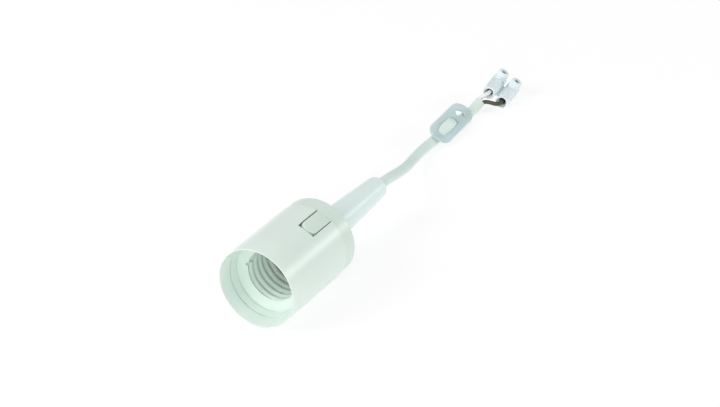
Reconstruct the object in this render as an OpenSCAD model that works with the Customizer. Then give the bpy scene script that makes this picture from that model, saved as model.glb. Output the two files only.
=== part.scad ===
// Pendant lampholder for an E27 lamp, with a flat cord, a hanging plate and a two-pole
// terminal block. It lies on its side: the lamp axis is Y and the mouth faces -Y.
// The origin is on the lamp axis, at the front of the lamp thread's first crest.

/* [Lampholder] */
// Outer diameter of the sleeve
sleeve_d = 38; // [37:0.5:40]
// Length of the sleeve, mouth to seam
sleeve_len = 43.5; // [42:0.5:46]
// Outer diameter of the cap behind the seam
cap_d = 37.2; // [36:0.2:37.6]
// Length of the cap behind the seam
cap_len = 8.2; // [7:0.2:10]
// Depth from the mouth to the first thread crest
thread_depth = 12; // [11.5:0.5:13]
// Number of thread turns
thread_turns = 5; // [4:1:5]

/* [Neck] */
// Diameter of the neck at the cap
neck_d = 16; // [14:0.5:17]
// Diameter of the neck at its tip
neck_tip_d = 10.4; // [9:0.2:12]
// Length of the neck outside the cap
neck_len = 51; // [40:1:60]

/* [Cord] */
// Width of the flat cord
cord_w = 5; // [4.6:0.1:5.2]
// Thickness of the flat cord
cord_t = 3; // [2.6:0.1:3.1]
// Diameter of one insulated core
core_d = 1.9; // [1.6:0.1:2]

/* [Hanging plate] */
// Length of the plate
plate_len = 35; // [33:0.5:38]
// Width of the plate
plate_w = 12.2; // [11:0.2:14]
// Thickness of the plate
plate_t = 1.2; // [1:0.1:1.2]
// Diameter of the hanging hole
hang_hole_d = 5.4; // [4:0.2:5.6]

/* [Terminal block] */
// Distance between the two poles
pole_pitch = 7.9; // [7.6:0.1:9]
// Diameter of one pole's barrel
pole_d = 6.4; // [6:0.1:6.6]
// Length of one pole
pole_len = 19; // [18.5:0.5:21]
// Height of the screw tower above the pole's axis
tower_h = 7; // [6.8:0.1:8]

/* [Hidden] */
$fn = 96;
eps = 0.01;

// Gap between pieces that move against each other, and at the seam of sleeve and cap
gap = 0.3;
seam_gap = 0.1;
sleeve_r = sleeve_d / 2;
cap_r = cap_d / 2;

// Lamp thread: the round E27 profile as ring-shaped crests and grooves
pitch = 3.629;
crest_r = 12.2;
groove_r = 13.3;
land = 0.8;
barrel_r = 15;
barrel_end = thread_depth + land + (thread_turns - 1) * pitch + 3.6;
wall_in_r = 17.3;

// The cap's skirt stands in the pocket between the sleeve's wall and its barrel
skirt_out_r = wall_in_r - gap;
skirt_in_r = 15.4;
skirt_front = 23;
seam = sleeve_len + seam_gap;
cap_rear = seam + cap_len;
cap_wall = 2;
carrier_front = 34;
carrier_step = 36.2;
carrier_rear = 41;
carrier_r = skirt_in_r - 0.05;
carrier_face_r = 9.6;
carrier_screw_z = 12;
cap_room_r = 14;
neck_rear = cap_rear + neck_len;

// Latch tongue: part of the cap's edge, seen through a notch in the sleeve
latch_angle = 22.9;
latch_w = 7.6;
latch_front = 28.7;
latch_t = 1.9;

// Contacts
strip_t = 0.4;
centre_hinge_x = -6.4;
centre_rivet_x = centre_hinge_x - 1.7;
centre_strip_w = 4.4;
centre_tip = 29.6;
side_angle = 100;
side_r = 12.9;
side_tip = 28.2;
side_strip_w = 4;
side_slot_w = 7;
side_rivet_r = 11.6;
side_foot = 37.2;
rivet_r = 0.8;
crimp_x = 5;
crimp_front = carrier_rear - 5;

// Cord grip inside the cap: a beam across the cap and a bar that is screwed down on it
grip_y = [45.2, 47.8];
grip_beam_z = -4.5;
grip_bar_z = 3.3;
grip_screw_x = 4.6;

// Table that the object lies on, and the roll of everything that lies flat on it
table_z = -sleeve_r;
lie_roll = 30;

// Hanging plate: where it lies, its two cord slots and its hole
plate_at = [-12.3, 194.2, -13.8];
plate_turn = [0, lie_roll, 3.5];
slot_w = 5.4;
slot_r = 2.2;
slot_a = [-12.9, -5.7];
slot_b = [4.1, -2.9];
hang_hole_y = 10.1;

// Terminal block: where it lies, its bores and its screws
block_at = [-5.7, 227, -12.8];
block_turn = [-4, 27, 8];
screw_y = 14.9;
rib_x = 3.4;
rib_y = 3.5;
clamp_r = 2.3;
clamp_y = [2.6, 17.6];
crimped_r = 0.8;
wire_front = 2.25;
wire_bore_y = 9.5;
wire_r = 1.5;
boss_top = 4.2;
disc_r = 1.4;
disc_t = 0.4;
disc_z = 1.75;
chamber_r = 1.7;
chamber_top = disc_z + disc_t + 0.3;
screw_r = 1.2;
screw_top = 6;

// The jacket's route: its straight run through the neck and its free fall to the table.
// Every y is a depth from the mouth.
route_start = [
    [0, 44, 0], [0, 60, 0], [0, 74, 0], [0, 88, 0], [0, 98, 0], [0, 103, 0],
    [0, 107, -0.1], [-0.2, 112, -0.8], [-0.7, 117, -2], [-1.5, 122, -3.5],
    [-2.7, 127.5, -5.4], [-4.3, 133.5, -7.6], [-6.1, 139.5, -9.8], [-8, 145.5, -11.8],
    [-9.7, 151.5, -13.4], [-11.2, 158, -14.7], [-12.2, 164.5, -15.5], [-12.7, 171, -15.9]
];
// Its threading through the plate: across, along and above the plate's middle
route_plate = [
    [0, -16.5, -2.45], [0, -15.3, -2.45], [0, -13.8, -2.2], [0, -12.3, -1.6],
    [0, -10.8, -0.7], [0, -9.3, 0.35], [0, -7.8, 1.3], [0, -6.3, 2.05], [0, -4.3, 2.45],
    [0, -2.3, 2.05], [0, -0.8, 1.3], [0, 0.7, 0.35], [0.1, 2.2, -0.7], [0.3, 3.7, -1.6],
    [0.6, 5.2, -2.2], [1, 6.7, -2.45], [1.7, 9.5, -2.4], [2.4, 13.5, -2.25],
    [2.7, 17, -2.2]
];
// Its last run, up to where it is cut back
route_end = [
    [-12.2, 214.2, -16.9], [-12, 216.4, -16.5], [-11.8, 218.4, -15.9], [-11.5, 220.3, -15.1],
    [-11.1, 222, -14.2]
];
// The two cores' routes from the cut jacket into the terminal block
route_live = [
    [-10, 222, -14.8], [-9.6, 223, -14.6], [-8.8, 223.7, -14.5], [-7.6, 224.1, -14.5],
    [-6.2, 224.3, -14.5], [-4.8, 224.5, -14.6], [-3.6, 225, -14.7], [-2.7, 226, -14.7],
    [-2.3, 227.3, -14.7], [-2.5, 228.5, -14.7], [-2.7, 229.5, -14.7]
];
route_neutral = [
    [-12.2, 222, -13.6], [-11.8, 223.2, -13], [-11.1, 224.2, -12.3], [-10.1, 225.3, -11.6],
    [-9.5, 226.4, -11.2], [-9.4, 227.5, -11.1], [-9.5, 228.6, -11.1]
];
// The cores inside the cap, from the jacket's front end to the crimps: across, depth, above
route_cap = [
    [1.25, 44, 0], [2, 43.2, 0.1], [3.3, 42.6, 0.2], [4.5, 41.9, 0.1], [5, 40.8, 0], [5, 38, 0]
];

// ---- Placing ----
// Draws in depths from the mouth
module from_mouth() { translate([0, -thread_depth, 0]) children(); }
// Turns what is drawn along Z so that it lies along Y, deeper as it rises
module along_y() { rotate([-90, 0, 0]) children(); }
// Turns what is drawn at +Z round the lamp axis, towards +X
module at_angle(a) { rotate([0, a, 0]) children(); }
// Round piece on the lamp axis from a profile of [radius, depth] points
module turned(profile) { along_y() rotate_extrude() polygon(profile); }
// Box by its low and high corners
module span(low, high) { translate(low) cube(high - low); }
module on_plate() { from_mouth() translate(plate_at) rotate(plate_turn) children(); }
// side is -1 for the neutral pole and 1 for the live pole
module on_block() { from_mouth() translate(block_at) rotate(block_turn) children(); }
module on_pole(side) { on_block() translate([side * pole_pitch / 2, 0, 0]) children(); }

// ---- Swept cords ----
function unit(v) = v / norm(v);
function turn_x(a, v) = [v[0], v[1] * cos(a) - v[2] * sin(a), v[1] * sin(a) + v[2] * cos(a)];
function turn_y(a, v) = [v[0] * cos(a) + v[2] * sin(a), v[1], v[2] * cos(a) - v[0] * sin(a)];
function turn_z(a, v) = [v[0] * cos(a) - v[1] * sin(a), v[0] * sin(a) + v[1] * cos(a), v[2]];
function turned_point(t, v) = turn_z(t[2], turn_y(t[1], turn_x(t[0], v)));
function plate_point(v) = plate_at + turned_point(plate_turn, v);

// Outline of a flat cord with round edges: half its points on each edge
function flat_outline(w, t, half) = [
    for (edge = [0, 1], k = [0 : half - 1])
        let (a = 180 * edge - 90 + 180 * (k + 0.5) / half)
        [(w - t) / 2 * (edge == 0 ? 1 : -1) + t / 2 * cos(a), t / 2 * sin(a)]
];
function heading(route, i) =
    unit(route[min(i + 1, len(route) - 1)] - route[max(i - 1, 0)]);
// One ring of the outline at a point of the route, square to the route
function ring(route, i, outline) =
    let (
        ahead = heading(route, i),
        flat = [cos(lie_roll), 0, -sin(lie_roll)],
        across = unit(flat - (flat * ahead) * ahead),
        above = cross(across, ahead)
    )
    [for (p = outline) route[i] + p[0] * across + p[1] * above];
module swept(route, outline) {
    n = len(outline);
    last = (len(route) - 1) * n;
    points = [for (i = [0 : len(route) - 1]) each ring(route, i, outline)];
    sides = [
        for (i = [0 : len(route) - 2], k = [0 : n - 1])
            [i * n + k, i * n + (k + 1) % n, (i + 1) * n + (k + 1) % n, (i + 1) * n + k]
    ];
    front = [[for (k = [0 : n - 1]) n - 1 - k]];
    rear = [[for (k = [0 : n - 1]) last + k]];
    polyhedron(points = points, faces = concat(front, sides, rear), convexity = 6);
}

// ---- Lampholder ----
// Inner outline of the thread, from the funnel's foot to the barrel's open end
function thread_profile() = [
    for (i = [0 : thread_turns - 1])
        let (y = thread_depth + i * pitch)
        each concat(
            [[crest_r, y], [crest_r, y + land]],
            [[(crest_r + groove_r) / 2, y + land + 0.5], [groove_r, y + land + 0.95]],
            i < thread_turns - 1
                ? [[groove_r, y + pitch - 0.95], [(crest_r + groove_r) / 2, y + pitch - 0.5]]
                : []
        )
];
module sleeve() {
    skirt = [
        [sleeve_r - 0.5, 0], [sleeve_r - 1.1, 0.3], [17.6, 0.8], [17.5, 6.2], [17, 6.2],
        [16.5, 10.6], [15.9, 10.6], [14.6, 11.2], [13.2, 11.5], [crest_r + 0.3, 11.8]
    ];
    barrel = concat(
        thread_profile(),
        [[groove_r + 0.1, barrel_end], [barrel_r, barrel_end], [barrel_r, 14], [wall_in_r, 14]]
    );
    wall = [[wall_in_r, sleeve_len], [sleeve_r, sleeve_len], [sleeve_r, 0.5]];
    color("honeydew") from_mouth() difference() {
        turned(concat(skirt, barrel, wall));
        // Notch for the latch tongue, open to the seam
        at_angle(latch_angle)
            span([-latch_w / 2 - gap, latch_front - 0.5, wall_in_r - 1],
                 [latch_w / 2 + gap, sleeve_len + 1, sleeve_r + 1]);
        // Slot in the barrel's end for the side contact
        at_angle(side_angle)
            span([-side_slot_w / 2, side_tip - 1, crest_r - 1],
                 [side_slot_w / 2, barrel_end + 1, barrel_r + 1]);
        // Keyway across the first crests
        at_angle(-83)
            span([-0.7, thread_depth - 0.6, crest_r - 1], [0.7, thread_depth + 6, groove_r]);
    }
}
module cap() {
    neck_hole = neck_d / 2 + 0.05;
    inner = cap_rear - cap_wall;
    shell = [
        [skirt_in_r, skirt_front], [skirt_out_r, skirt_front], [skirt_out_r, seam],
        [cap_r, seam], [cap_r, cap_rear - 3.2], [cap_r - 0.3, cap_rear - 1.8],
        [cap_r - 1.1, cap_rear - 0.7], [cap_r - 2.4, cap_rear], [neck_hole, cap_rear],
        [neck_hole, inner], [cap_room_r, inner], [cap_room_r, carrier_rear],
        [skirt_in_r, carrier_rear]
    ];
    color("honeydew") from_mouth() difference() {
        union() {
            turned(shell);
            // Bosses for the carrier's screws
            for (side = [-1, 1])
                translate([0, 0, side * carrier_screw_z]) along_y()
                    translate([0, 0, carrier_rear]) cylinder(r = 2.3, h = inner - carrier_rear + 1);
            // Beam of the cord grip
            at_angle(lie_roll)
                span([-cap_room_r - 0.6, grip_y[0], grip_beam_z],
                     [cap_room_r + 0.6, grip_y[1], -cord_t / 2]);
        }
        for (side = [-1, 1])
            translate([0, 0, side * carrier_screw_z]) along_y()
                translate([0, 0, carrier_rear - 1]) cylinder(r = 1.25, h = 9);
        at_angle(lie_roll) for (side = [-1, 1])
            translate([side * grip_screw_x, (grip_y[0] + grip_y[1]) / 2, grip_beam_z + 0.5])
                cylinder(r = 0.85, h = 6);
        // Window round the latch tongue
        at_angle(latch_angle)
            span([-latch_w / 2 - gap, skirt_front - 1, 14], [latch_w / 2 + gap, seam, sleeve_r]);
        // Relief behind the tongue's root
        at_angle(latch_angle)
            span([-latch_w / 2 - gap, seam - eps, skirt_in_r - 1],
                 [latch_w / 2 + gap, seam + 0.6, cap_r - 0.9]);
    }
}
// The tongue is drawn at +Z and turned to its place. Its root touches the cap only at the
// outer surface, where it bends.
module latch_tongue() {
    corner = 2.2;
    in_r = sleeve_r - latch_t;
    color("honeydew") from_mouth() at_angle(latch_angle) intersection() {
        // Flush with the sleeve at its tip, and with the cap at its root
        turned([
            [in_r, latch_front - 1], [sleeve_r, latch_front - 1], [sleeve_r, seam - 8],
            [cap_r, seam], [in_r, seam]
        ]);
        difference() {
            union() {
                span([-latch_w / 2, latch_front + corner, 0], [latch_w / 2, seam, sleeve_r + 1]);
                span([-latch_w / 2 + corner, latch_front, 0],
                     [latch_w / 2 - corner, latch_front + corner + 1, sleeve_r + 1]);
                for (side = [-1, 1])
                    translate([side * (latch_w / 2 - corner), latch_front + corner, 0])
                        cylinder(r = corner, h = sleeve_r + 1);
            }
            // Relieved root face
            translate([-latch_w, seam, cap_r]) rotate([-14, 0, 0])
                translate([0, 0, -4]) cube([2 * latch_w, 2, 4]);
        }
    }
}
module contact_carrier() {
    color("ivory") from_mouth() difference() {
        turned([
            [0, carrier_front], [carrier_face_r, carrier_front], [carrier_face_r, carrier_step],
            [carrier_r, carrier_step], [carrier_r, carrier_rear], [0, carrier_rear]
        ]);
        // Chambers of the two crimps, open to the rear
        for (side = [-1, 1])
            at_angle(lie_roll) translate([side * crimp_x, crimp_front, 0]) along_y()
                cylinder(r = 1.5, h = 6);
        // Holes for the two carrier screws and the two contact rivets
        for (side = [-1, 1])
            translate([0, carrier_front, side * carrier_screw_z]) along_y()
                cylinder(r = 1.3, h = 9);
        translate([centre_rivet_x, carrier_front - 1, 0]) along_y() cylinder(r = rivet_r, h = 9);
        at_angle(side_angle) translate([0, 35, side_rivet_r]) along_y()
            cylinder(r = rivet_r, h = 7);
        // Window where the side contact stands
        at_angle(side_angle)
            span([-side_slot_w / 2, 33, 9.8], [side_slot_w / 2, side_foot, carrier_r + 1]);
    }
}
module carrier_screws() {
    color("gainsboro") from_mouth() for (side = [-1, 1])
        translate([0, 0, side * carrier_screw_z]) slotted_screw(1.2, 2, carrier_step, 11, 1.2);
}
// Slotted screw along Y: its head ends at the given depth and its shank runs on from there
module slotted_screw(r, head_r, head_rear, length, head_h) {
    difference() {
        along_y() union() {
            translate([0, 0, head_rear]) cylinder(r = r, h = length);
            translate([0, 0, head_rear - head_h]) cylinder(r = head_r, h = head_h);
        }
        span([-head_r - 1, head_rear - head_h - 1, -0.3], [head_r + 1, head_rear - head_h / 2, 0.3]);
    }
}
// Sprung strip from its bend on the carrier to a raised tip under the lamp's tip
module centre_contact() {
    bend_r = 0.3;
    bend_y = carrier_front - bend_r - 0.1;
    color("gold") from_mouth() translate([0, 0, -centre_strip_w / 2])
        linear_extrude(centre_strip_w) union() {
            translate([centre_hinge_x, bend_y]) circle(r = bend_r);
            polygon([
                [centre_hinge_x - 0.1, bend_y - bend_r + 0.05], [-1.8, centre_tip + 0.5],
                [0.4, centre_tip], [2.4, centre_tip + 0.5], [4.2, centre_tip + 1.6],
                [4, centre_tip + 2], [2.2, centre_tip + 0.9], [0.4, centre_tip + strip_t],
                [-1.6, centre_tip + 0.9], [centre_hinge_x + 0.25, bend_y + 0.1]
            ]);
        }
}
module centre_contact_foot() {
    color("gold") from_mouth() difference() {
        span([-9.4, carrier_front - strip_t, -centre_strip_w / 2],
             [centre_hinge_x - 0.3, carrier_front, centre_strip_w / 2]);
        translate([centre_rivet_x, carrier_front - 1, 0]) along_y() cylinder(r = rivet_r, h = 2);
    }
}
// Strip that stands along the lamp's shell, drawn at +Z and turned to its place
module side_contact() {
    bend_r = 0.3;
    color("gold") from_mouth() at_angle(side_angle)
        translate([side_strip_w / 2, 0, 0]) rotate([0, -90, 0]) linear_extrude(side_strip_w) union() {
            translate([13.4, side_foot - strip_t - bend_r]) circle(r = bend_r);
            polygon([
                [13.1, 36.5], [13.1, 32], [side_r - 0.4, side_tip + 1.8], [side_r, side_tip],
                [side_r + strip_t, side_tip], [side_r, side_tip + 1.8], [13.5, 32], [13.6, 36.5]
            ]);
        }
}
module side_contact_foot() {
    color("gold") from_mouth() at_angle(side_angle) difference() {
        span([-side_strip_w / 2, side_foot - strip_t, 10.2], [side_strip_w / 2, side_foot, 13.4]);
        translate([0, 36, side_rivet_r]) along_y() cylinder(r = rivet_r, h = 2);
    }
}
module contact_rivets() {
    color("silver") from_mouth() {
        translate([centre_rivet_x, carrier_front, 0]) rivet(3);
        at_angle(side_angle) translate([0, side_foot, side_rivet_r]) rivet(2);
    }
}
// Rivet along Y with its head on a strip whose far face is at y = 0, sunk to the given depth
module rivet(depth) {
    along_y() translate([0, 0, -strip_t]) union() {
        translate([0, 0, -0.25]) cylinder(r = 1.15, h = 0.25);
        cylinder(r = rivet_r, h = strip_t + depth);
    }
}
// side is -1 for the neutral conductor and 1 for the live one
module lamp_crimp(side) {
    color("gold") from_mouth() at_angle(lie_roll) translate([side * crimp_x, crimp_front, 0])
        along_y() difference() {
            cylinder(r = 1.45, h = 4.2);
            translate([0, 0, 0.8]) cylinder(r = core_d / 2, h = 6);
        }
}
module live_lamp_crimp() { lamp_crimp(1); }
module neutral_lamp_crimp() { lamp_crimp(-1); }
module lamp_core(side) {
    from_mouth() at_angle(lie_roll)
        swept([for (p = route_cap) [side * p[0], p[1], p[2]]], flat_outline(core_d, core_d, 4));
}
module live_lamp_core() { color("saddlebrown") lamp_core(1); }
module neutral_lamp_core() { color("white") lamp_core(-1); }
// Bar that presses the cord down on the cap's beam
module cord_grip_bar() {
    color("ivory") from_mouth() at_angle(lie_roll) difference() {
        span([-6.6, grip_y[0], cord_t / 2], [6.6, grip_y[1], grip_bar_z]);
        for (side = [-1, 1])
            translate([side * grip_screw_x, (grip_y[0] + grip_y[1]) / 2, 0])
                cylinder(r = 0.9, h = 6);
    }
}
module cord_grip_screws() {
    color("gainsboro") from_mouth() at_angle(lie_roll) for (side = [-1, 1])
        translate([side * grip_screw_x, (grip_y[0] + grip_y[1]) / 2, grip_bar_z])
            rotate([-90, 0, 0]) slotted_screw(0.8, 1.25, 0, 6.8, 0.8);
}
module neck() {
    flange_r = neck_d / 2 + 1.6;
    tip_r = neck_tip_d / 2;
    inner = cap_rear - cap_wall;
    color("aliceblue") from_mouth() difference() {
        turned([
            [0, inner - 1.4], [flange_r, inner - 1.4], [flange_r, inner], [neck_d / 2, inner],
            [neck_d / 2, cap_rear + 0.6], [tip_r + 0.15, neck_rear - 3.2], [tip_r, neck_rear - 1.6],
            [tip_r - 0.6, neck_rear - 0.5], [tip_r - 1.6, neck_rear], [0, neck_rear]
        ]);
        // Bore of the cord's own section
        at_angle(lie_roll) along_y() translate([0, 0, inner - 3]) linear_extrude(neck_len + 10)
            flat_hole(cord_w + 0.3, cord_t + 0.3);
    }
}
module flat_hole(w, t) {
    square([w - t, t], center = true);
    for (side = [-1, 1])
        translate([side * (w - t) / 2, 0]) circle(d = t);
}

// ---- Cord ----
module cord_jacket() {
    threading = [for (p = route_plate) plate_point(p)];
    route = concat(route_start, threading, route_end);
    color("whitesmoke") from_mouth() swept(route, flat_outline(cord_w, cord_t, 6));
}
module live_tail_core() {
    color("saddlebrown") from_mouth() swept(route_live, flat_outline(core_d, core_d, 4));
}
module neutral_tail_core() {
    color("white") from_mouth() swept(route_neutral, flat_outline(core_d, core_d, 4));
}

// ---- Hanging plate ----
// Slot for the cord, from its rounded outer end to its square inner end
module cord_slot(outer, inner) {
    bend = outer + sign(inner - outer) * slot_r;
    translate([0, 0, -plate_t]) linear_extrude(2 * plate_t) union() {
        translate([0, (bend + inner) / 2]) square([slot_w, abs(inner - bend)], center = true);
        translate([0, (bend + outer) / 2]) square([slot_w - 2 * slot_r, slot_r], center = true);
        for (side = [-1, 1]) translate([side * (slot_w / 2 - slot_r), bend]) circle(r = slot_r);
    }
}
module hanging_plate() {
    color("aliceblue") on_plate() difference() {
        linear_extrude(plate_t, center = true) union() {
            square([plate_w, plate_len - plate_w], center = true);
            for (side = [-1, 1])
                translate([0, side * (plate_len - plate_w) / 2]) circle(d = plate_w);
        }
        for (s = [slot_a, slot_b]) cord_slot(s[0], s[1]);
        translate([0, hang_hole_y, -plate_t]) cylinder(d = hang_hole_d, h = 2 * plate_t);
    }
}

// ---- Terminal block ----
module block_housing() {
    web_x = pole_pitch / 2 - 2.55;
    color("aliceblue") on_block() difference() {
        union() {
            both_poles() along_y() cylinder(d = pole_d, h = pole_len);
            both_poles() span([-rib_x, rib_y, -1], [rib_x, pole_len, 1.7]);
            both_poles() translate([0, screw_y, 0]) rotate_extrude() polygon([
                [0, 1], [2.8, 1], [2.8, 4.6], [2.5, 5.2], [2.5, tower_h], [0, tower_h]
            ]);
            span([-web_x, 5.6, -1.6], [web_x, 14, 0.6]);   // Web between the poles
        }
        both_poles() pole_inside();
    }
}
module both_poles() {
    for (side = [-1, 1]) translate([side * pole_pitch / 2, 0, 0]) children();
}
module pole_inside() {
    // Funnel for the cord's core, seat of the brass clamp body and entry for the building's wire
    along_y() rotate_extrude() polygon([
        [0, -0.1], [2.8, -0.1], [1.6, 2.2], [1.6, clamp_y[0]], [clamp_r, clamp_y[0]],
        [clamp_r, clamp_y[1]], [1.7, clamp_y[1]], [1.7, pole_len + 1], [0, pole_len + 1]
    ]);
    // Seat of the clamp body's boss, and the screw's shaft
    translate([0, screw_y, 0]) rotate_extrude()
        polygon([[0, 0.5], [2.1, 0.5], [2.1, boss_top], [1.45, boss_top], [1.45, 9], [0, 9]]);
}
module clamp_body(side) {
    color("gold") on_pole(side) difference() {
        union() {
            along_y() translate([0, 0, clamp_y[0]])
                cylinder(r = clamp_r, h = clamp_y[1] - clamp_y[0]);
            translate([0, screw_y, 0]) cylinder(r = 2.1, h = boss_top);
        }
        // Crimped front half and open rear half
        along_y() rotate_extrude() polygon([
            [0, 2], [crimped_r, 2], [crimped_r, wire_bore_y], [wire_r, wire_bore_y],
            [wire_r, pole_len], [0, pole_len]
        ]);
        // Chamber of the pressure disc, with the threaded hole above it
        translate([0, screw_y, 0]) rotate_extrude() polygon([
            [0, 0], [chamber_r, 0], [chamber_r, chamber_top], [screw_r + 0.05, chamber_top],
            [screw_r + 0.05, boss_top + 1], [0, boss_top + 1]
        ]);
    }
}
module live_clamp_body() { clamp_body(1); }
module neutral_clamp_body() { clamp_body(-1); }
// Bare wire that is crimped in the front half of the clamp body
module wire_end(side) {
    color("peru") on_pole(side) along_y() translate([0, 0, wire_front])
        cylinder(r = crimped_r, h = wire_bore_y - 0.7 - wire_front);
}
module live_wire_end() { wire_end(1); }
module neutral_wire_end() { wire_end(-1); }
module pressure_disc(side) {
    color("silver") on_pole(side) translate([0, screw_y, disc_z]) cylinder(r = disc_r, h = disc_t);
}
module live_pressure_disc() { pressure_disc(1); }
module neutral_pressure_disc() { pressure_disc(-1); }
module clamp_screw(side) {
    color("silver") on_pole(side) translate([0, screw_y, 0]) difference() {
        translate([0, 0, disc_z + disc_t]) cylinder(r = screw_r, h = screw_top - disc_z - disc_t);
        span([-2, -0.22, screw_top - 0.8], [2, 0.22, screw_top + 1]);
    }
}
module live_clamp_screw() { clamp_screw(1); }
module neutral_clamp_screw() { clamp_screw(-1); }

sleeve();
cap();
latch_tongue();
contact_carrier();
carrier_screws();
centre_contact();
centre_contact_foot();
side_contact();
side_contact_foot();
contact_rivets();
live_lamp_crimp();
neutral_lamp_crimp();
live_lamp_core();
neutral_lamp_core();
cord_grip_bar();
cord_grip_screws();
neck();
cord_jacket();
live_tail_core();
neutral_tail_core();
live_wire_end();
neutral_wire_end();
hanging_plate();
block_housing();
live_clamp_body();
neutral_clamp_body();
live_pressure_disc();
neutral_pressure_disc();
live_clamp_screw();
neutral_clamp_screw();
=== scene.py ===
"""Looks of the pendant lampholder: its shells, cord, hanging plate and terminal block.

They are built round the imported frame. Shapes are written in millimetres as (across, depth, above):
depth runs from the mouth along the lamp axis, and a matrix puts each shape into the row frame, in metres.
"""

import math

import bmesh
import bpy
from mathutils import Euler, Matrix, Vector


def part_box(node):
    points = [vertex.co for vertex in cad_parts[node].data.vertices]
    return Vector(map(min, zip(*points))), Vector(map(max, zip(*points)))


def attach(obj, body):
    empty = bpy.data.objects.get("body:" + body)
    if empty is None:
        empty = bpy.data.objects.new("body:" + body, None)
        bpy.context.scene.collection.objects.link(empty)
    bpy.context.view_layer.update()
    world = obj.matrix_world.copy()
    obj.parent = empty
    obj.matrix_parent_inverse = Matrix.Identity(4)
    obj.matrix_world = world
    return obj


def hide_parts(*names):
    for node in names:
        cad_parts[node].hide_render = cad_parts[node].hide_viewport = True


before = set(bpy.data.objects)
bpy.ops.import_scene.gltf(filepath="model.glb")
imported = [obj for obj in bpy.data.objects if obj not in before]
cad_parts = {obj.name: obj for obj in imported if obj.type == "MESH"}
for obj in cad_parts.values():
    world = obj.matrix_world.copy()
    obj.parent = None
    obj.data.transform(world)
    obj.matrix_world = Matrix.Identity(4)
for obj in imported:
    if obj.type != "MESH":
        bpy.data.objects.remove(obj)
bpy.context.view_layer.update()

MM = 0.001
ROUND = 192            # Steps round a large turned shell
SMALL_ROUND = 64       # Steps round a small turned piece
ARC_STEP = math.radians(15)

# ---- Measures read from the frame, in millimetres ----
sleeve_low, sleeve_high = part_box("sleeve")
cap_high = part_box("cap")[1]
neck_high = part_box("neck")[1]
MOUTH = sleeve_low.y
SLEEVE_R = sleeve_high.x / MM
SLEEVE_LEN = (sleeve_high.y - MOUTH) / MM
CAP_R = cap_high.x / MM
CAP_REAR = (cap_high.y - MOUTH) / MM
NECK_REAR = (neck_high.y - MOUTH) / MM
FLOOR = -SLEEVE_R * MM

# ---- The design's own measures, as part.scad has them ----
PITCH = 3.629
CREST_R = 12.2
GROOVE_R = 13.3
BARREL_R = 15.0
BARREL_END = 30.9      # Rounded from 30.916
POCKET_R = 17.3
POCKET_FRONT = 14.0
SKIRT_R = (15.4, 17.0)
SKIRT_FRONT = 23.0
SEAM = 43.6
CAP_WALL = 2.0
CAP_ROOM_R = 14.0
CARRIER_FRONT = 34.0
CARRIER_STEP = 36.2
CARRIER_REAR = 41.0
CARRIER_SCREW_Z = 12.0
CARRIER_FACE_R = 9.6
CARRIER_R = 15.35
CRIMP_AT = (5, 36)      # How far across and how deep the crimps start
LATCH_TURN = math.radians(22.9)
LATCH_HALF = 3.8
LATCH_FRONT = 28.7
LATCH_IN_R = 17.1
LATCH_SLOPE = 8        # Length over which the tongue comes down from the sleeve's surface to the cap's
LATCH_GAP = .3
SIDE_TURN = math.radians(100)
STRIP_T = .4           # Thickness of the contact springs
RIVET_X = 8.1
SIDE_RIVET_Z = 11.6
KEY_TURN = math.radians(-83)
LIE_ROLL = math.radians(30)
CORD_W = 5.0
CORD_T = 3.0
CORE_R = 0.95
NECK_R = 8.0
NECK_TIP_R = 5.2
GRIP_Y = (45.2, 47.8)
POLE_PITCH = 7.9
POLE_R = 3.2
POLE_LEN = 19
TOWER_H = 7.0
SCREW_Y = 14.9
CLAMP_Y = (2.6, 17.6)
BOSS_TOP = 4.2
DISC_TOP = 2.15

# ---- Measures of the looks alone, which part.scad has otherwise or not at all ----
THREAD_FRONT = 12.4
CREST_DEPTH = 13.2     # Depth of a thread crest right above the lamp axis
THREAD_RISE = .9       # Length over which the thread reaches its full depth
THREAD_POWER = 1.5     # Above 1, the crests are wider than the grooves
NOTCH_GAP = .4
NOTCH_FRONT_GAP = .6
LATCH_CORNER = 3.3
TAIL_CORE_R = 1.05
TOWER_R = 2.9
SCREW_PITCH = .45

# ---- Places: each matrix takes local millimetres to the row frame ----
LAMP = Matrix.Translation((0, MOUTH, 0)) @ Matrix.Scale(MM, 4)
ROLLED = LAMP @ Matrix.Rotation(LIE_ROLL, 4, "Y")
# Turns a shape drawn along Y so that it stands along Z
UPRIGHT = Matrix.Rotation(math.radians(90), 4, "X")


def at_turn(turn):
    """What is drawn above the lamp axis, turned round it towards +X."""
    return LAMP @ Matrix.Rotation(turn, 4, "Y")


def put(at, turn_deg):
    """A place in the lamp's depths with turns about X, Y and Z."""
    turn = Euler([math.radians(a) for a in turn_deg], "XYZ").to_matrix().to_4x4()
    return LAMP @ Matrix.Translation(at) @ turn


PLATE = put((-12.3, 194.2, -13.8), (0, 30, 3.5))
BLOCK = put((-5.7, 227, -12.8), (-4, 27, 8))


def pole(side):
    """side is -1 for the neutral pole and 1 for the live one."""
    return BLOCK @ Matrix.Translation((side * POLE_PITCH / 2, 0, 0))


# ---- The cord's route, in metres. Its points are part.scad's ----
ROUTE_START = [
    (0, .032, 0), (0, .048, 0), (0, .062, 0), (0, .076, 0), (0, .086, 0), (0, .091, 0),
    (0, .095, -.0001), (-.0002, .1, -.0008), (-.0007, .105, -.002), (-.0015, .11, -.0035),
    (-.0027, .1155, -.0054), (-.0043, .1215, -.0076), (-.0061, .1275, -.0098), (-.008, .1335, -.0118),
    (-.0097, .1395, -.0134), (-.0112, .146, -.0147), (-.0122, .1525, -.0155), (-.0127, .159, -.0159),
]
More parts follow.
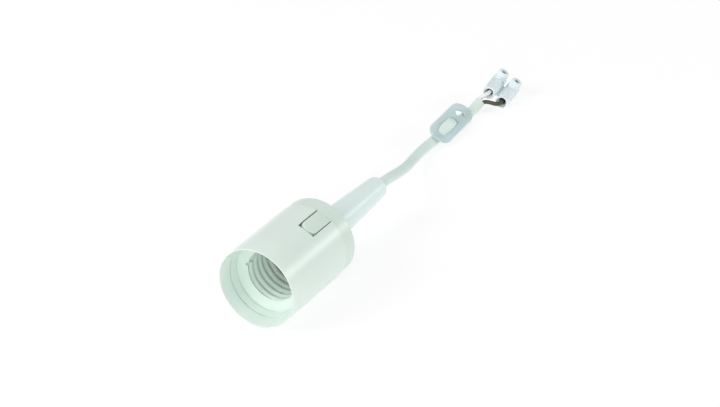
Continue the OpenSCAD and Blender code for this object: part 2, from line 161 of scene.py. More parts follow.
# Through the plate: across, along and above the plate's middle
ROUTE_PLATE = [
    (0, -.0165, -.00245), (0, -.0153, -.00245), (0, -.0138, -.0022), (0, -.0123, -.0016),
    (0, -.0108, -.0007), (0, -.0093, .00035), (0, -.0078, .0013), (0, -.0063, .00205),
    (0, -.0043, .00245), (0, -.0023, .00205), (0, -.0008, .0013), (0, .0007, .00035),
    (.0001, .0022, -.0007), (.0003, .0037, -.0016), (.0006, .0052, -.0022), (.001, .0067, -.00245),
    (.0017, .0095, -.0024), (.0024, .0135, -.00225), (.0027, .017, -.0022),
]
ROUTE_END = [
    (-.0122, .2022, -.0169), (-.012, .2044, -.0165), (-.0118, .2064, -.0159), (-.0115, .2083, -.0151),
    (-.0111, .21, -.0142),
]
# Each core's route starts with one more point than in part.scad, inside the jacket
ROUTE_LIVE = [
    (-.0104, .2085, -.0155), (-.01, .21, -.0148), (-.0096, .211, -.0146), (-.0088, .2117, -.0145),
    (-.0076, .2121, -.0145), (-.0062, .2123, -.0145), (-.0048, .2125, -.0146), (-.0036, .213, -.0147),
    (-.0027, .214, -.0147), (-.0023, .2153, -.0147), (-.0025, .2165, -.0147), (-.0027, .2175, -.0147),
]
ROUTE_NEUTRAL = [
    (-.0125, .2085, -.0144), (-.0122, .21, -.0136), (-.0118, .2112, -.013), (-.0111, .2122, -.0123),
    (-.0101, .2133, -.0116), (-.0095, .2144, -.0112), (-.0094, .2155, -.0111), (-.0095, .2166, -.0111),
]
# The cores inside the cap, with one more point too. In the rolled frame, in millimetres:
# across, depth and above
ROUTE_CAP = [
    (1.25, 44.4, 0), (1.25, 44, 0), (2, 43.2, .1), (3.3, 42.6, .2), (4.5, 41.9, .1), (5, 40.8, 0), (5, 38, 0),
]


# ---- Camera ----
def make_camera():
    azimuth = math.radians(30.28)
    elevation = math.radians(31.3)
    roll = math.radians(1.56)
    aim = Vector((-.005, .083, -.0072))
    distance = 1.1244
    level_share = math.cos(elevation)
    back = Vector((math.sin(azimuth) * level_share, -math.cos(azimuth) * level_share, math.sin(elevation)))
    camera = bpy.data.objects.new("camera", bpy.data.cameras.new("camera"))
    camera.data.sensor_width = 36
    camera.data.lens = 122.47
    camera.data.clip_start = .01
    camera.data.clip_end = 50
    camera.rotation_mode = "QUATERNION"
    level = (-back).to_track_quat("-Z", "Y")
    camera.rotation_quaternion = level @ Matrix.Rotation(roll, 3, "Z").to_quaternion()
    camera.location = aim + back * distance
    bpy.context.scene.collection.objects.link(camera)
    bpy.context.scene.camera = camera


make_camera()


# ---- Mesh tools ----
def build(name, points, faces, where=Matrix.Identity(4)):
    """A mesh object whose points, drawn in local units, go to the row frame."""
    mesh = bpy.data.meshes.new(name)
    mesh.from_pydata([tuple(where @ Vector(p)) for p in points], [], [tuple(f) for f in faces])
    piece = bpy.data.objects.new(name, mesh)
    bpy.context.scene.collection.objects.link(piece)
    clean(piece)
    return piece


def clean(piece):
    """Joins points that coincide and turns every face outwards."""
    work = bmesh.new()
    work.from_mesh(piece.data)
    bmesh.ops.remove_doubles(work, verts=work.verts, dist=1e-7)
    bmesh.ops.dissolve_degenerate(work, edges=work.edges, dist=1e-8)
    bmesh.ops.recalc_face_normals(work, faces=work.faces)
    work.to_mesh(piece.data)
    work.free()
    piece.data.update()


def loft(name, rings, where, loop=False):
    """Skin over rings of equally many points.

    A loop joins the last ring to the first; otherwise the two ends are capped.
    """
    count, size = len(rings), len(rings[0])
    faces = []
    for i in range(count if loop else count - 1):
        here, there = i * size, (i + 1) % count * size
        faces += [(here + k, here + (k + 1) % size, there + (k + 1) % size, there + k) for k in range(size)]
    if not loop:
        faces += [range(size), range((count - 1) * size, count * size)]
    return build(name, [p for ring in rings for p in ring], faces, where)


def rounded(corners, closed=True):
    """Outline through (a, b, fillet) corners, with an arc at each corner that has a fillet."""
    outline = []
    for i, (a, b, fillet) in enumerate(corners):
        corner = Vector((a, b))
        if not fillet or (not closed and i in (0, len(corners) - 1)):
            outline.append(corner)
            continue
        before = (Vector(corners[i - 1][:2]) - corner).normalized()
        after = (Vector(corners[(i + 1) % len(corners)][:2]) - corner).normalized()
        half = before.angle(after) / 2
        centre = corner + (before + after).normalized() * fillet / math.sin(half)
        start = corner + before * fillet / math.tan(half) - centre
        end = corner + after * fillet / math.tan(half) - centre
        sweep = math.atan2(start.x * end.y - start.y * end.x, start.dot(end))
        steps = max(2, math.ceil(abs(sweep) / ARC_STEP))
        outline += [centre + Matrix.Rotation(sweep * k / steps, 2) @ start for k in range(steps + 1)]
    return outline


def arc_outline(a, b, radius, steps=48):
    """Circle as an outline."""
    outline = []
    for k in range(steps):
        turn = 2 * math.pi * k / steps
        outline.append(Vector((a + radius * math.cos(turn), b + radius * math.sin(turn))))
    return outline


def turned(name, outline, where=LAMP, steps=SMALL_ROUND):
    """Solid of revolution about local Y from a closed outline of (radius, depth)."""
    rings = []
    for i in range(steps):
        turn = 2 * math.pi * i / steps
        rings.append([(r * math.sin(turn), depth, r * math.cos(turn)) for r, depth in outline])
    return loft(name, rings, where, loop=True)


def block(name, low, high, where, edge=0.0):
    """Box by its corners. An edge rounds the edges along Y and breaks those at the two ends."""
    (x0, y0, z0), (x1, y1, z1) = low, high
    section = rounded([(x0, z0, edge), (x1, z0, edge), (x1, z1, edge), (x0, z1, edge)])
    ease = edge / 3
    rings = []
    middle = Vector(((x0 + x1) / 2, (z0 + z1) / 2))
    layers = ((y0, 0), (y1, 0))
    if edge:
        layers = ((y0, ease), (y0 + ease, 0), (y1 - ease, 0), (y1, ease))
    for depth, shrink in layers:
        ring = []
        for p in section:
            side = p - middle
            ring.append((p.x - math.copysign(shrink, side.x), depth, p.y - math.copysign(shrink, side.y)))
        rings.append(ring)
    return loft(name, rings, where)


def flat_piece(name, outlines, low, high, edge, where):
    """Sheet between two heights, with rounded edges.

    The first outline, in local X and Y, is its outer edge, and the others are its holes.
    """
    curve = bpy.data.curves.new(name, "CURVE")
    curve.dimensions = "2D"
    curve.fill_mode = "BOTH"
    curve.extrude = (high - low) / 2 - edge
    curve.bevel_depth = edge
    curve.bevel_resolution = 3
    curve.offset = -edge
    for outline in outlines:
        spline = curve.splines.new("POLY")
        spline.points.add(len(outline) - 1)
        for point, p in zip(spline.points, outline):
            point.co = (p[0], p[1], 0, 1)
        spline.use_cyclic_u = True
    drawn = bpy.data.objects.new(name + "_outline", curve)
    bpy.context.scene.collection.objects.link(drawn)
    mesh = bpy.data.meshes.new_from_object(drawn.evaluated_get(bpy.context.evaluated_depsgraph_get()))
    bpy.data.objects.remove(drawn)
    bpy.data.curves.remove(curve)
    mesh.name = name
    mesh.transform(where @ Matrix.Translation((0, 0, (low + high) / 2)))
    piece = bpy.data.objects.new(name, mesh)
    bpy.context.scene.collection.objects.link(piece)
    clean(piece)
    return piece


def settle(piece):
    """Applies the piece's modifiers to its mesh."""
    bpy.context.view_layer.update()
    mesh = bpy.data.meshes.new_from_object(piece.evaluated_get(bpy.context.evaluated_depsgraph_get()))
    mesh.name = piece.name
    piece.modifiers.clear()
    old, piece.data = piece.data, mesh
    bpy.data.meshes.remove(old)


def combine(piece, others, operation):
    """Adds the other solids to the piece (UNION) or takes them away (DIFFERENCE)."""
    for other in others:
        step = piece.modifiers.new("combine", "BOOLEAN")
        step.operation = operation
        step.solver = "EXACT"
        step.object = other
        settle(piece)
        bpy.data.objects.remove(other)
    clean(piece)
    return piece


def cut(piece, *others):
    return combine(piece, others, "DIFFERENCE")


def join(piece, *others):
    return combine(piece, others, "UNION")


def shade(piece, sharp=32):
    """Smooth shading with a crease wherever two faces meet at more than this many degrees."""
    work = bmesh.new()
    work.from_mesh(piece.data)
    for face in work.faces:
        face.smooth = True
    for line in work.edges:
        line.smooth = len(line.link_faces) == 2 and line.calc_face_angle() < math.radians(sharp)
    work.to_mesh(piece.data)
    work.free()
    normals = piece.modifiers.new("normals", "WEIGHTED_NORMAL")
    normals.keep_sharp = True
    normals.mode = "FACE_AREA_WITH_ANGLE"
    settle(piece)


def smooth_line(route, parts=4):
    """Points along a smooth curve through the route's points."""
    route = [Vector(p) for p in route]
    line = []
    for i in range(len(route) - 1):
        a, b = route[i], route[i + 1]
        before, after = route[max(i - 1, 0)], route[min(i + 2, len(route) - 1)]
        span = (b - a).length
        lead = (b - before) / ((b - a).length + (a - before).length) * span
        trail = (after - a) / ((b - a).length + (after - b).length) * span
        for k in range(parts):
            t = k / parts
            line.append(a * (2 * t**3 - 3 * t**2 + 1) + lead * (t**3 - 2 * t**2 + t)
                        + b * (3 * t**2 - 2 * t**3) + trail * (t**3 - t**2))
    return line + [route[-1]]


def headings(line):
    last = len(line) - 1
    return [(line[min(i + 1, last)] - line[max(i - 1, 0)]).normalized() for i in range(len(line))]


def swept(name, line, section, flat, where=Matrix.Identity(4)):
    """Section of (across, above) points swept along a line. flat is the way that its width lies."""
    rings = []
    for p, ahead in zip(line, headings(line)):
        across = (flat - flat.dot(ahead) * ahead).normalized()
        above = across.cross(ahead)
        rings.append([p + across * a + above * b for a, b in section])
    return loft(name, rings, where)


def oval(width, thick, steps=32, power=2.6):
    """Section of a flat cord: an oval with slightly flattened faces."""
    section = []
    for k in range(steps):
        t = 2 * math.pi * (k + .5) / steps
        c, s = math.cos(t), math.sin(t)
        section.append((width / 2 * math.copysign(abs(c) ** (2 / power), c),
                        thick / 2 * math.copysign(abs(s) ** (2 / power), s)))
    return section


# ---- Materials ----
def new_material(name):
    material = bpy.data.materials.new(name)
    material.use_nodes = True
    tree = material.node_tree
    tree.nodes.clear()
    output = tree.nodes.new("ShaderNodeOutputMaterial")
    shader = tree.nodes.new("ShaderNodeBsdfPrincipled")
    tree.links.new(shader.outputs["BSDF"], output.inputs["Surface"])
    return material, tree, shader


def noise(tree, scale, detail=2.0, rough=.5, stretch=None):
    """Noise over the object's own coordinates; scale is in waves per metre."""
    place = tree.nodes.new("ShaderNodeTexCoord")
    source = place.outputs["Object"]
    if stretch:
        mapping = tree.nodes.new("ShaderNodeMapping")
        mapping.inputs["Scale"].default_value = stretch
        tree.links.new(source, mapping.inputs["Vector"])
        source = mapping.outputs["Vector"]
    texture = tree.nodes.new("ShaderNodeTexNoise")
    texture.inputs["Scale"].default_value = scale
    texture.inputs["Detail"].default_value = detail
    texture.inputs["Roughness"].default_value = rough
    tree.links.new(source, texture.inputs["Vector"])
    return texture.outputs["Fac"]


def spread(tree, source, low, high, from_low=.3, from_high=.7):
    """Maps a noise to a range of values."""
    node = tree.nodes.new("ShaderNodeMapRange")
    node.inputs["From Min"].default_value = from_low
    node.inputs["From Max"].default_value = from_high
    node.inputs["To Min"].default_value = low
    node.inputs["To Max"].default_value = high
    tree.links.new(source, node.inputs["Value"])
    return node.outputs["Result"]


def mix(tree, factor, first, second):
    """Blends two colours, or a colour and a link, by a linked factor."""
    node = tree.nodes.new("ShaderNodeMix")
    node.data_type = "RGBA"
    tree.links.new(factor, node.inputs["Factor"])
    for socket, value in ((node.inputs[6], first), (node.inputs[7], second)):
        if isinstance(value, tuple):
            socket.default_value = (*value, 1)
        else:
            tree.links.new(value, socket)
    return node.outputs[2]


def bump(tree, shader, height, distance, strength=1.0, before=None):
    node = tree.nodes.new("ShaderNodeBump")
    node.inputs["Strength"].default_value = strength
    node.inputs["Distance"].default_value = distance
    tree.links.new(height, node.inputs["Height"])
    if before:
        tree.links.new(before, node.inputs["Normal"])
    tree.links.new(node.outputs["Normal"], shader.inputs["Normal"])
    return node.outputs["Normal"]


def tinted(colour, share):
    return tuple(c * share for c in colour)


def painted_gap_shade(tree, colour, reach, dark, shut=.08, open_from=.38):
    """Paints shade into a colour where the surface is shut in, as in seams, slots and wire holes.

    reach is how far off, in metres, a wall still counts. The colour is darkest where the open share
    is shut or less, and untouched where it is open_from or more.
    """
    shut_in = tree.nodes.new("ShaderNodeAmbientOcclusion")
    shut_in.samples = 8
    shut_in.inputs["Distance"].default_value = reach
    openness = spread(tree, shut_in.outputs["AO"], 0, 1, shut, open_from)
    node = tree.nodes.new("ShaderNodeMix")
    node.data_type = "RGBA"
    node.blend_type = "MULTIPLY"
    node.inputs["Factor"].default_value = 1
    tree.links.new(colour, node.inputs[6])
    tree.links.new(mix(tree, openness, dark, (1, 1, 1)), node.inputs[7])
    return node.outputs[2]


CLOUDY = .985          # Share of its colour that a plastic keeps in its darker clouds and flecks
GRAIN = .000001        # Height of the spark-eroded grain, in metres
SWELL = .000004        # Height of the soft waves that moulding leaves, in metres
PLASTIC_IOR = 1.46
CORD_IOR = 1.5


def plastic(name, colour, roughness, scatter=.25, depth=.0012, see_through=0.0, reach=.0012,
            dark=(.06, .12, .07)):
    """Moulded plastic: cloudy colour, painted shade in its gaps, scuffed gloss, spark-eroded grain and some
    light let through.
    """
    material, tree, shader = new_material(name)
    clouds = spread(tree, noise(tree, 90, 3), 0, 1)
    flecks = spread(tree, noise(tree, 900, 2), 0, 1, .62, .75)
    body = mix(tree, clouds, tinted(colour, CLOUDY), colour)
    body = mix(tree, flecks, body, tinted(colour, CLOUDY))
    # Painted shade: the colour darkens in seams, slots and thread grooves
    tree.links.new(painted_gap_shade(tree, body, reach, dark), shader.inputs["Base Color"])
    scuffs = spread(tree, noise(tree, 260, 4, .6), roughness - .02, roughness + .04)
    tree.links.new(scuffs, shader.inputs["Roughness"])
    fine = bump(tree, shader, noise(tree, 4200, 2), GRAIN)
    bump(tree, shader, noise(tree, 130, 1), SWELL, .5, fine)
    shader.inputs["IOR"].default_value = PLASTIC_IOR
    shader.inputs["Subsurface Weight"].default_value = scatter
    shader.inputs["Subsurface Radius"].default_value = (1, 1, 1)
    shader.inputs["Subsurface Scale"].default_value = depth
    shader.inputs["Transmission Weight"].default_value = see_through
    return material


def metal(name, colour, roughness, brushed=(1, 1, 1)):
    """Stamped or turned metal: drawn streaks, tarnish, painted shade in its hollows and small dents."""
    material, tree, shader = new_material(name)
    streaks = noise(tree, 1500, 3, .6, brushed)
    tarnish = spread(tree, noise(tree, 220, 3), 0, 1)
    body = mix(tree, tarnish, tinted(colour, .78), colour)
    # Painted shade: the colour darkens nearly to black in openings and hollows
    shaded = painted_gap_shade(tree, body, .004, (.015, .015, .012), .3, .85)
    tree.links.new(shaded, shader.inputs["Base Color"])
    tree.links.new(spread(tree, streaks, roughness - .06, roughness + .12), shader.inputs["Roughness"])
    bump(tree, shader, streaks, .000006)
    shader.inputs["Metallic"].default_value = 1
    return material


def insulation(name, colour, roughness):
    """Soft PVC on a core or cord: faint extrusion streaks along it and a dull skin."""
    material, tree, shader = new_material(name)
    streaks = noise(tree, 1400, 3, .55, (1, .05, 1))
    clouds = spread(tree, noise(tree, 110, 2), 0, 1)
    tree.links.new(mix(tree, clouds, tinted(colour, .95), colour), shader.inputs["Base Color"])
    tree.links.new(spread(tree, streaks, roughness - .05, roughness + .08), shader.inputs["Roughness"])
    fine = bump(tree, shader, streaks, .000008)
    bump(tree, shader, noise(tree, 500, 2), .00001, .6, fine)
    shader.inputs["IOR"].default_value = CORD_IOR
    shader.inputs["Subsurface Weight"].default_value = .15
    shader.inputs["Subsurface Radius"].default_value = (1, 1, 1)
    shader.inputs["Subsurface Scale"].default_value = .0008
    return material


# reach and dark set how far and how deep each plastic's painted shade in its gaps goes
MATERIALS = {
    "shell_plastic": plastic("shell_plastic", (.74, .855, .79), .31, scatter=.3, depth=.002),
    "cap_plastic": plastic("cap_plastic", (.68, .81, .735), .33, scatter=.3, depth=.002),
    "neck_plastic": plastic("neck_plastic", (.75, .88, .845), .36, scatter=.4, depth=.003),
    "carrier_plastic": plastic("carrier_plastic", (.62, .66, .57), .5),
    "plate_plastic": plastic("plate_plastic", (.72, .87, .88), .36, scatter=.4, depth=.002,
                             see_through=.35, reach=.0006),
    # Deep painted shade: the clamp bores darken nearly to black
    "block_plastic": plastic("block_plastic", (.78, .90, .93), .33, scatter=.4, depth=.002,
                             reach=.002, dark=(.02, .03, .03)),
    "cord_plastic": insulation("cord_plastic", (.72, .86, .8), .5),
    "live_plastic": insulation("live_plastic", (.075, .07, .046), .4),
    "neutral_plastic": insulation("neutral_plastic", (.92, .92, .91), .4),
    "contact_brass": metal("contact_brass", (.75, .56, .27), .3, (1, .1, 1)),
    "clamp_brass": metal("clamp_brass", (.62, .50, .30), .35),
    "screw_steel": metal("screw_steel", (.52, .52, .50), .32),
    "wire_copper": metal("wire_copper", (.80, .42, .26), .3, (1, .1, 1)),
}


def done(piece, body, slot, *nodes, sharp=32):
    """Finishes a piece: shading, material, and its body, slot and the CAD nodes that it stands for."""
    shade(piece, sharp)
    piece.data.materials.clear()
    piece.data.materials.append(MATERIALS[slot])
    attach(piece, body)
    if nodes:
        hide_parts(*nodes)
    return piece


# ---- Cord and its cores ----
def plate_point(p):
    return PLATE @ (Vector(p) / MM)


ACROSS = Vector((math.cos(LIE_ROLL), 0, -math.sin(LIE_ROLL)))
EXIT_AT = 5            # The route's point at the neck's tip
NECK_RUN = 1           # Points of the route that the free cord keeps inside the neck


def make_cord():
    route = [Vector(p) for p in ROUTE_START]
    route += [plate_point(p) for p in ROUTE_PLATE]
    route += [Vector(p) for p in ROUTE_END]
    line = smooth_line(route[EXIT_AT - NECK_RUN:])
    section = oval(CORD_W * MM, CORD_T * MM)
    cord = swept("flat_cord", line, section, ACROSS)
    done(cord, "lampholder", "cord_plastic", "cord_jacket")
    hidden = swept("cord_in_neck", smooth_line(route[:EXIT_AT - NECK_RUN + 1]), section, ACROSS)
    done(hidden, "lampholder", "cord_plastic")
    return cord, line


def make_core(name, node, route, slot, radius, where=Matrix.Identity(4)):
    """Round core along a route; the radius is in the route's own unit."""
    core = swept(name, smooth_line(route), oval(2 * radius, 2 * radius, 20, 2), ACROSS, where)
    return done(core, "lampholder", slot, node)


cord, cord_line = make_cord()
tail_r = TAIL_CORE_R * MM
tail_cores = [
    make_core("live_core_end", "live_tail_core", ROUTE_LIVE, "live_plastic", tail_r),
    make_core("neutral_core_end", "neutral_tail_core", ROUTE_NEUTRAL, "neutral_plastic", tail_r),
]


def make_lamp_cores():
    for side, slot in ((1, "live_plastic"), (-1, "neutral_plastic")):
        name = "live" if side == 1 else "neutral"
        route = [(side * x, depth, z) for x, depth, z in ROUTE_CAP]
        make_core(name + "_core_in_cap", name + "_lamp_core", route, slot, CORE_R, ROLLED)


make_lamp_cores()


# ---- Sleeve ----
def thread_radius(depth, turn):
    """Right-handed Edison thread: rounded crests that rise out of the funnel's foot."""
    wave = .5 - .5 * math.cos(2 * math.pi * ((depth - CREST_DEPTH) / PITCH - turn / (2 * math.pi)))
    rise = min(1, max(0, (depth - THREAD_FRONT) / THREAD_RISE))
    return CREST_R + (GROOVE_R - CREST_R) * wave**THREAD_POWER * rise


def notch_cutter(name, where, half, front, rear, radius, ease=.18):
    """Cutter for an opening in a round wall, flared a little where it leaves the wall's outer surface."""
    outline = [(-half, front), (half, front), (half, rear), (-half, rear)]
    steps = 24
    points = []
    for (x0, y0), (x1, y1) in zip(outline, outline[1:] + outline[:1]):
        points += [(x0 + (x1 - x0) * k / steps, y0 + (y1 - y0) * k / steps) for k in range(steps)]
    middle = (front + rear) / 2
    flare = ((-3.2, 0), (-ease, 0), (-ease * .4, ease * .25), (ease * .3, ease * 1.1), (1.2, ease * 2))
    rings = []
    for height, grow in flare:
        ring = []
        for x, y in points:
            wide = x * (1 + grow / half)
            deep = middle + (y - middle) * (1 + 2 * grow / (rear - front))
            ring.append((wide, deep, math.sqrt(radius**2 - x**2) + height))
        rings.append(ring)
    return loft(name, rings, where)


def make_sleeve():
    rows = 96
    wall = rounded([
        (SLEEVE_R, SLEEVE_LEN / 2, 0), (SLEEVE_R, SLEEVE_LEN, .2), (POCKET_R, SLEEVE_LEN, .2),
        (POCKET_R, POCKET_FRONT, .6), (BARREL_R, POCKET_FRONT, .6), (BARREL_R, BARREL_END, .25),
        (GROOVE_R + .4, BARREL_END, 0),
    ], closed=False)
    funnel = rounded([
        (CREST_R, THREAD_FRONT, 0), (CREST_R + .25, 12.4, .2), (14.4, 11.6, .8), (16.5, 10.6, 0),
        (16.9, 10.55, 0), (16.9, 10.3, 0), (16.6, 10.2, .2),
        (17.3, 6.75, .15), (17.8, 6.7, 0), (17.8, 6.45, 0), (17.4, 6.35, .15), (17.5, 5.5, 1),
        (18.65, 0, .12), (SLEEVE_R, 0, .22), (SLEEVE_R, SLEEVE_LEN / 2, 0),
    ], closed=False)
    rear, front = BARREL_END - .15, THREAD_FRONT + .1
    depths = [rear + (front - rear) * k / rows for k in range(rows + 1)]
    rings = []
    for i in range(ROUND):
        turn = 2 * math.pi * i / ROUND
        thread = [(thread_radius(depth, turn), depth) for depth in depths]
        ring = [(p.x, p.y) for p in wall] + [(thread[0][0] + .15, BARREL_END)] + thread
        ring += [(p.x, p.y) for p in funnel[:-1]]
        rings.append([(r * math.sin(turn), depth, r * math.cos(turn)) for r, depth in ring])
    sleeve = loft("sleeve_shell", rings, LAMP, loop=True)
    half = LATCH_HALF + NOTCH_GAP
    notch_front = LATCH_FRONT - NOTCH_FRONT_GAP
    cut(
        sleeve,
        notch_cutter("notch", at_turn(LATCH_TURN), half, notch_front, SLEEVE_LEN + 2, SLEEVE_R),
        block("slot", (-3.5, 27.2, 11), (3.5, BARREL_END + 1, BARREL_R + 1), at_turn(SIDE_TURN), .4),
        block("key", (-.7, THREAD_FRONT - .6, 11), (.7, THREAD_FRONT + 6, GROOVE_R), at_turn(KEY_TURN), .3),
    )
    return done(sleeve, "sleeve", "shell_plastic", "sleeve")


# ---- Cap, latch tongue and neck ----
def make_cap():
    inner = CAP_REAR - CAP_WALL
    hole = NECK_R + .05
    shell = rounded([
        (SKIRT_R[0], SKIRT_FRONT, .3), (SKIRT_R[1], SKIRT_FRONT, .4), (SKIRT_R[1], SEAM, 0),
        (CAP_R, SEAM, .15), (CAP_R, CAP_REAR, .9), (hole, CAP_REAR, .25), (hole, inner, 0),
        (CAP_ROOM_R, inner, .6), (CAP_ROOM_R, CARRIER_REAR, 0), (SKIRT_R[0], CARRIER_REAR, 0),
    ])
    cap = turned("cap_shell", shell, LAMP, ROUND)
    boss_r = 2.3
    boss = [(0, CARRIER_REAR), (boss_r, CARRIER_REAR), (boss_r, inner + 1), (0, inner + 1)]
    bosses = []
    for side in (-1, 1):
        where = LAMP @ Matrix.Translation((0, 0, side * CARRIER_SCREW_Z))
        bosses.append(turned("boss", boss, where))
    reach = CAP_ROOM_R + .6
    beam = block("beam", (-reach, GRIP_Y[0], -4.5), (reach, GRIP_Y[1], -CORD_T / 2), ROLLED)
    join(cap, *bosses, beam)
    half = LATCH_HALF + LATCH_GAP
    cut(cap, block("window", (-half, SKIRT_FRONT - 1, 14), (half, SEAM, SLEEVE_R), at_turn(LATCH_TURN)))
    return done(cap, "lampholder", "cap_plastic", "cap")


def make_latch_tongue():
    """Tab with a pillowed edge that follows the sleeve at its tip and the cap at its root."""
    half, front = LATCH_HALF, LATCH_FRONT
    corners = [(-half, SEAM, 0), (-half, front, LATCH_CORNER), (half, front, LATCH_CORNER), (half, SEAM, 0)]
    outline = rounded(corners, closed=False)
    steps = 12
    outline += [Vector((half - 2 * half * k / steps, SEAM)) for k in range(1, steps)]
    middle = Vector((0, (front + SEAM) / 2))

    def top(y):
        slope = min(1, max(0, (y - SEAM + LATCH_SLOPE) / LATCH_SLOPE))
        return SLEEVE_R + (CAP_R - SLEEVE_R) * slope

    def ring(share, height, shrink, inner=False):
        points = []
        for p in outline:
            q = middle + (p - middle) * share
            x = q.x * (1 - shrink / half)
            y = SEAM - (SEAM - q.y) * (1 - shrink / (SEAM - front))
            radius = LATCH_IN_R if inner else top(y)
            points.append((x, y, math.sqrt(radius**2 - x**2) + height))
        return points

    shares = [.02, .15, .3, .45, .6, .75, .88, .96]
    rings = [ring(s, 0, .25, True) for s in shares] + [ring(1, 0, .25, True), ring(1, .25, 0, True)]
    pillow = ((-.4, 0), (-.2, .04), (-.06, .14), (0, .3))
    rings += [ring(1, height, shrink) for height, shrink in pillow]
    rings += [ring(s, 0, .3) for s in reversed(shares)]
    tongue = loft("latch_tongue_tab", rings, at_turn(LATCH_TURN))
    return done(tongue, "latch", "cap_plastic", "latch_tongue")


def make_neck():
    inner = CAP_REAR - CAP_WALL
    collar_front = inner - 1.4
    collar_r = NECK_R + 1.6
    taper = rounded([
        (1, collar_front, 0), (collar_r, collar_front, .3), (collar_r, inner, .2), (NECK_R, inner, 0),
        (NECK_R, CAP_REAR + .6, 4), (NECK_TIP_R + .15, NECK_REAR - 3.2, 6), (NECK_TIP_R - .1, NECK_REAR, 2.1),
        (1, NECK_REAR, 0),
    ])
    neck = turned("neck_taper", taper, LAMP, ROUND)
    line = [Vector((0, depth, 0)) for depth in (inner - 3, NECK_REAR + 3)]
    play = .3
    cut(neck, swept("bore", line, oval(CORD_W + play, CORD_T + play), Vector((1, 0, 0)), ROLLED))
    return done(neck, "lampholder", "neck_plastic", "neck")


make_sleeve()
make_cap()
make_latch_tongue()
make_neck()


# ---- Hanging plate ----
def cord_slot(outer, inner):
    """Opening for the cord: nearly half round at its outer end and square at its inner end."""
    half = 2.48
    outer_r = 2.2
    return rounded([(-half, outer, outer_r), (half, outer, outer_r), (half, inner, .3), (-half, inner, .3)])


def make_plate():
    half, end = 6.1, 17.5
    arc = half - .02
    body = rounded([(-half, -end, arc), (half, -end, arc), (half, end, arc), (-half, end, arc)])
    slots = [cord_slot(-12.9, -5.7), cord_slot(4.1, -2.9)]
    hanging_hole = arc_outline(0, 10.1, 2.7)
    plate = flat_piece("hanging_tag", [body, *slots, hanging_hole], -.6, .6, .3, PLATE)
    return done(plate, "lampholder", "plate_plastic", "hanging_plate")


# ---- Terminal block ----
def over_screw(side):
    """What is drawn along Y stands on a pole's clamp screw."""
    return pole(side) @ Matrix.Translation((0, SCREW_Y, 0)) @ UPRIGHT


def make_housing():
    def barrel(side):
        outline = rounded([(0, 0, 0), (POLE_R, 0, .45), (POLE_R, POLE_LEN, .35), (0, POLE_LEN, 0)])
        return turned("barrel", outline, pole(side))

    def tower(side):
        outline = rounded([(0, 1, 0), (TOWER_R, 1, 0), (TOWER_R, TOWER_H, .7), (0, TOWER_H, 0)])
        return turned("tower", outline, over_screw(side))

    housing = barrel(-1)
    ribs = [block("ribs", (-3.4, 3.5, -1), (3.4, POLE_LEN, 1.7), pole(side), .3) for side in (-1, 1)]
    web = block("web", (-1.4, 5.6, -1.6), (1.4, 14, .6), BLOCK, .4)
    join(housing, barrel(1), *ribs, web, tower(-1), tower(1))
    front, rear = CLAMP_Y
    out = POLE_LEN + 1
    bore = rounded([
        (0, -.1, 0), (2.75, -.1, 0), (1.6, 2.2, .4), (1.6, front, 0), (2.3, front, 0),
        (2.3, rear, 0), (1.7, rear, 0), (1.7, out, 0), (0, out, 0),
    ])
    shaft = [(0, .5), (2.1, .5), (2.1, BOSS_TOP), (1.35, BOSS_TOP), (1.35, 9), (0, 9)]
    for side in (-1, 1):
        cut(housing, turned("bore", bore, pole(side)), turned("shaft", shaft, over_screw(side)))
    return done(housing, "lampholder", "block_plastic", "block_housing")


def make_clamp_body(side, name):
    """Brass body with its screw boss, crimped in front and open to the building's wire behind."""
    front, rear = CLAMP_Y
    outline = rounded([(0, front, 0), (2.28, front, .2), (2.28, rear, .2), (0, rear, 0)])
    body = turned(name + "_clamp", outline, pole(side))
    boss = rounded([(0, .6, 0), (2.08, .6, 0), (2.08, BOSS_TOP, .2), (0, BOSS_TOP, 0)])
    join(body, turned("boss", boss, over_screw(side)))
    bore = [(0, 2), (.8, 2), (.8, 9.5), (1.5, 9.5), (1.5, rear + 1), (0, rear + 1)]
    chamber = [(0, 0), (1.7, 0), (1.7, 2.45), (1.25, 2.45), (1.25, 5.2), (0, 5.2)]
    cut(body, turned("bore", bore, pole(side)), turned("chamber", chamber, over_screw(side)))
    return done(body, "lampholder", "clamp_brass", name + "_clamp_body")


def make_disc(side, name):
    low, high, radius = 1.75, DISC_TOP, 1.4
    outline = rounded([(0, low, 0), (radius, low, .12), (radius, high, .12), (0, high, 0)])
    disc = turned(name + "_disc", outline, over_screw(side))
    return done(disc, name + "_disc", "screw_steel", name + "_pressure_disc")


def make_clamp_screw(side, name):
    """Set screw with thread ridges and a slotted top."""
    ridges = [(0, DISC_TOP), (.85, DISC_TOP)]
    for k in range(7):
        ridges += [(1.0, 2.5 + SCREW_PITCH * k), (1.2, 2.72 + SCREW_PITCH * k)]
    ridges += [(1.15, 5.85), (1.0, 6), (0, 6)]
    screw = turned(name + "_screw", ridges, over_screw(side))
    above = pole(side) @ Matrix.Translation((0, SCREW_Y, 0))
    cut(screw, block("slot", (-2, -.22, 5.2), (2, .22, 7), above))
    return done(screw, name + "_screw", "screw_steel", name + "_clamp_screw")


def make_wire(side, name):
    """Bare conductor: six strands show on its skin and twist along it."""
    length_steps, round_steps = 12, 42
    rings = []
    for k in range(length_steps + 1):
        depth = 2.25 + 6.55 * k / length_steps
        ring = []
        for j in range(round_steps):
            turn = 2 * math.pi * j / round_steps
            radius = .74 + .05 * math.cos(6 * turn + depth)
            ring.append((radius * math.sin(turn), depth, radius * math.cos(turn)))
        rings.append(ring)
    wire = loft(name + "_wire", rings, pole(side))
    return done(wire, "lampholder", "wire_copper", name + "_wire_end")


def make_clamp(side, name):
    return [make(side, name) for make in (make_clamp_body, make_disc, make_clamp_screw, make_wire)]


plate = make_plate()
housing = make_housing()
clamps = make_clamp(1, "live") + make_clamp(-1, "neutral")


